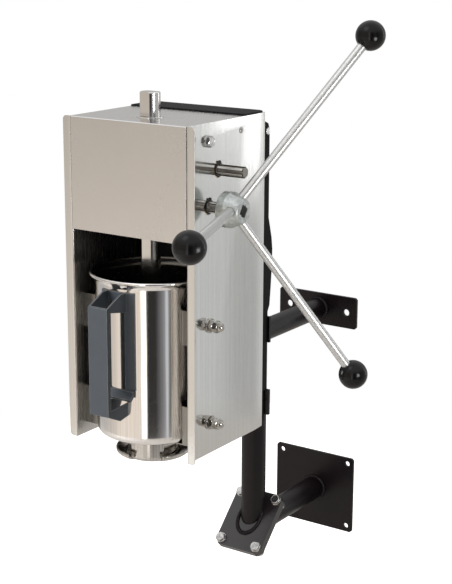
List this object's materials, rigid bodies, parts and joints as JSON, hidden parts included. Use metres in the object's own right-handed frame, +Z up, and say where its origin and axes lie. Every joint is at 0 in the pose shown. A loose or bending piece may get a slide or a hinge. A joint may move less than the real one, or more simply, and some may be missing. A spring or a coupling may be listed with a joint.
{
  "type": "churro maker",
  "caption": "Wall-mounted hand cranked press: a rack-driven piston in a removable steel cylinder with handle, geared three-arm crank, folded steel body and tube bracket.",
  "frame": {"origin": "centre of the lower wall plate, on the wall face", "axes": "+Y into the wall, +Z up, +X to the crank side"},
  "size_m": [0.4955, 0.9352, 1.1029],
  "materials": {
    "bracket_paint": "satin dark brown-black paint",
    "panel_steel": "stainless sheet with a vertical grain",
    "cover_steel": "satin stainless sheet",
    "black_casting": "black painted casting",
    "zinc_fastener": "bright zinc plate",
    "machined_steel": "milled steel",
    "bush_bronze": "turned bronze",
    "shaft_steel": "ground and splined steel",
    "gear_steel": "cut steel teeth with grease",
    "ring_steel": "blackened spring steel",
    "rod_steel": "ground stainless",
    "piston_metal": "turned aluminium",
    "seal_rubber": "white food grade rubber",
    "polished_steel": "mirror polished stainless",
    "neck_steel": "polished casting",
    "handle_paint": "dark blue-grey satin",
    "support_steel": "bent stainless sheet",
    "hub_plate": "plated casting",
    "arm_steel": "bright drawn rod",
    "knob_plastic": "glossy black ball"
  },
  "bodies": {
    "frame": {"lower_wall_plate": "bracket_paint", "upper_wall_plate": "bracket_paint", "lower_tube": "bracket_paint", "post": "bracket_paint", "upper_tube": "bracket_paint", "upper_mitre_flange": "bracket_paint", "lower_mitre_flange": "bracket_paint", "upper_post_plate": "bracket_paint", "lower_post_plate": "bracket_paint", "left_side_panel": "panel_steel", "right_side_panel": "panel_steel", "front_cover": "cover_steel", "rear_casting": "black_casting", "spine": "black_casting", "flange_bolts": "zinc_fastener", "cover_screws": "zinc_fastener", "rear_bolts": "zinc_fastener", "tie_rods": "zinc_fastener", "guide_bolts": "zinc_fastener", "support_bolts": "zinc_fastener", "support_dome_nuts": "zinc_fastener", "gearbox_floor": "machined_steel", "left_gear_plate": "machined_steel", "middle_gear_plate": "machined_steel", "right_gear_plate": "machined_steel", "top_guide_block": "machined_steel", "spacer_tubes": "machined_steel", "shaft_bushes": "bush_bronze", "lower_guide_bush": "bush_bronze", "rod_scraper_ring": "rod_steel", "cylinder": "polished_steel", "cylinder_rim": "polished_steel", "cylinder_floor": "polished_steel", "outlet_neck": "neck_steel", "cylinder_handle": "handle_paint", "upper_supports": "support_steel", "lower_supports": "support_steel"},
    "crank_shaft": {"crank_shaft": "shaft_steel", "drive_gear": "gear_steel", "drive_gear_key": "gear_steel", "crank_shaft_spacers": "machined_steel", "crank_shaft_rings": "ring_steel"},
    "pinion_shaft": {"pinion_shaft": "shaft_steel", "pinion_shaft_keys": "gear_steel", "rack_pinion": "gear_steel", "large_gear": "gear_steel", "pinion_shaft_spacers": "machined_steel", "pinion_shaft_rings": "ring_steel"},
    "ram": {"rack_rod": "rod_steel", "piston": "piston_metal", "piston_seal": "seal_rubber", "piston_nut": "zinc_fastener"},
    "crank": {"crank_hub": "hub_plate", "hub_set_screw": "zinc_fastener", "crank_arm_1": "arm_steel", "crank_arm_2": "arm_steel", "crank_arm_3": "arm_steel", "knob_1": "knob_plastic", "knob_2": "knob_plastic", "knob_3": "knob_plastic"}
  },
  "joints": [
    {"name": "crank_turn", "type": "hinge", "parent": "frame", "child": "crank_shaft", "pos_m": [0, -0.579, 0.7162], "axis": [1, 0, 0], "range_deg": [-410, 2340]},
    {"name": "pinion_turn", "type": "hinge", "parent": "frame", "child": "pinion_shaft", "pos_m": [0, -0.551, 0.77486], "axis": [1, 0, 0], "range_deg": [-781, 138]},
    {"name": "ram_slide", "type": "slide", "parent": "frame", "child": "ram", "axis": [0, 0, 1], "range_m": [-0.0431, 0.2452]},
    {"name": "crank_pull_off", "type": "slide", "parent": "crank_shaft", "child": "crank", "axis": [1, 0, 0], "range_m": [0, 0.06]}
  ],
  "couplings": [
    {"joint": "pinion_turn", "follows": "crank_turn", "ratio": -0.33333},
    {"joint": "ram_slide", "follows": "crank_turn", "m_per_rad": 0.006}
  ]
}
